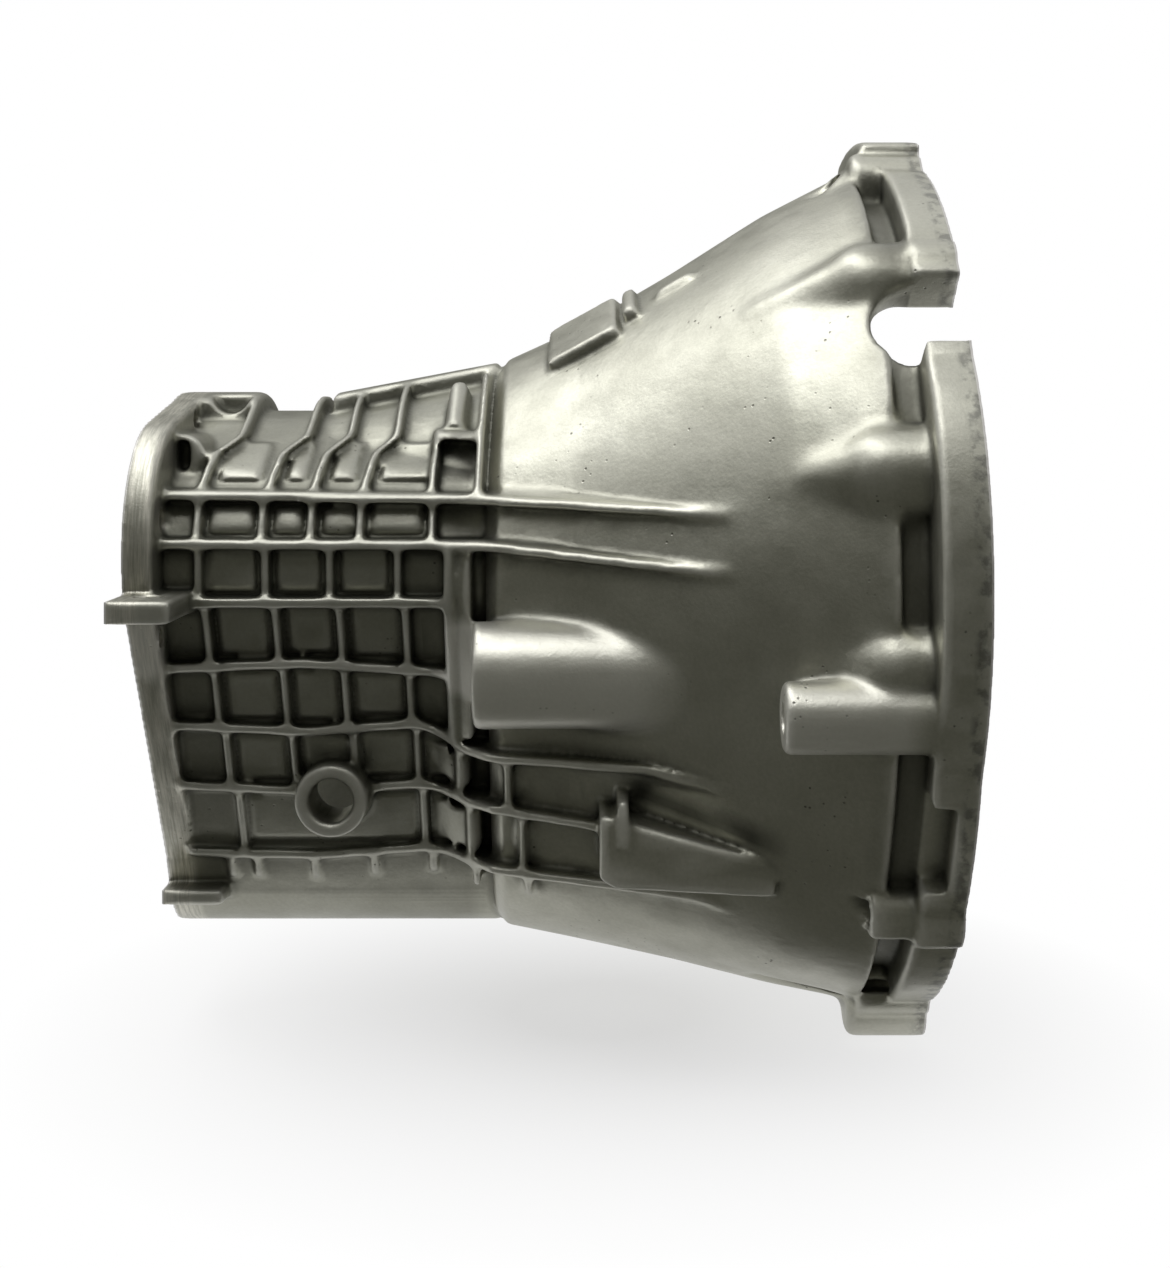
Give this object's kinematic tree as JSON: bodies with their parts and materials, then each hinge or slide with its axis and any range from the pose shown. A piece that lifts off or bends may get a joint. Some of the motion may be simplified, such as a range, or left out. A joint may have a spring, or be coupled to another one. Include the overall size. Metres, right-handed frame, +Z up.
{
  "type": "gearbox housing",
  "caption": "Die-cast gearbox front housing: a ribbed gear case joined to a wide bell with a bolting flange, open at both ends.",
  "frame": {"origin": "centre of the bell's flange face, on the input shaft's line", "axes": "+X along the input shaft towards the engine, +Z up as the housing sits in the car, the filler hole on the -Y side"},
  "size_m": [0.33, 0.3855, 0.392],
  "materials": {
    "cast_light_metal": "blasted satin casting"
  },
  "bodies": {
    "root": {"gearbox_housing": "cast_light_metal"}
  },
  "joints": []
}
